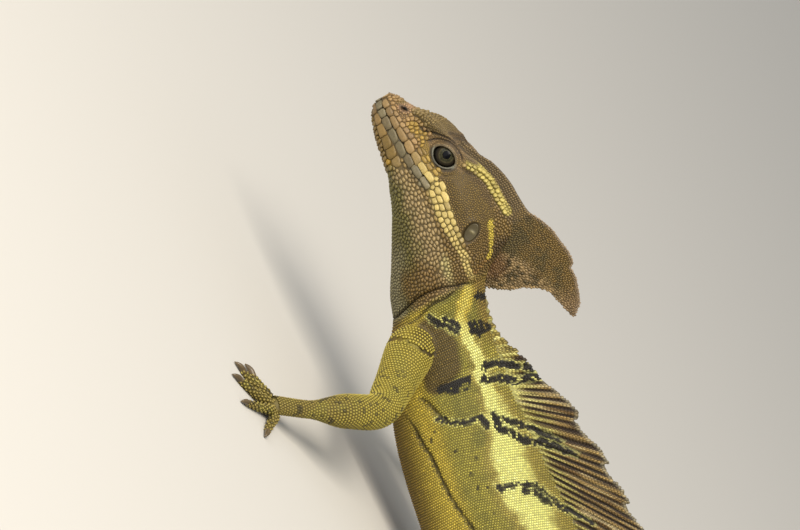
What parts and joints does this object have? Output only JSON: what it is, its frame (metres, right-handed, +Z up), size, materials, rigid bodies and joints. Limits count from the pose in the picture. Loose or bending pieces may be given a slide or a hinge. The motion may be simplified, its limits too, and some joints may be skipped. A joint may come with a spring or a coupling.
{
  "type": "common basilisk lizard",
  "caption": "Life-size still model of a male basilisk lizard with raised head, head crest and tall sails on back and tail, standing on its feet with the tail laid on the floor.",
  "frame": {"origin": "on the floor under the middle of the bounding box", "axes": "+X from the tail towards the head, +Y to the animal's left, +Z up"},
  "size_m": [0.643, 0.2344, 0.0803],
  "materials": {
    "brown_crest": "matt scaled membrane, brown with pale rays",
    "eardrum": "smooth thin skin",
    "eye": "wet gloss, dark iris with a golden ring",
    "golden_flank": "scaled hide with a soft sheen, olive-gold with black bars",
    "olive_skin": "matt scaled hide, olive-brown with yellow and black markings"
  },
  "bodies": {
    "root": {"back_sail": "brown_crest", "ear_left": "eardrum", "ear_right": "eardrum", "eye_left": "eye", "eye_right": "eye", "foot_left": "olive_skin", "foot_right": "olive_skin", "forearm_left": "olive_skin", "forearm_right": "olive_skin", "hand_left": "olive_skin", "hand_right": "olive_skin", "head": "olive_skin", "head_crest": "brown_crest", "neck": "golden_flank", "shin_left": "olive_skin", "shin_right": "olive_skin", "tail_base": "olive_skin", "tail_front": "olive_skin", "tail_middle": "olive_skin", "tail_sail": "brown_crest", "tail_tip": "olive_skin", "thigh_left": "golden_flank", "thigh_right": "golden_flank", "torso": "golden_flank", "upper_arm_left": "golden_flank", "upper_arm_right": "golden_flank"}
  },
  "joints": []
}
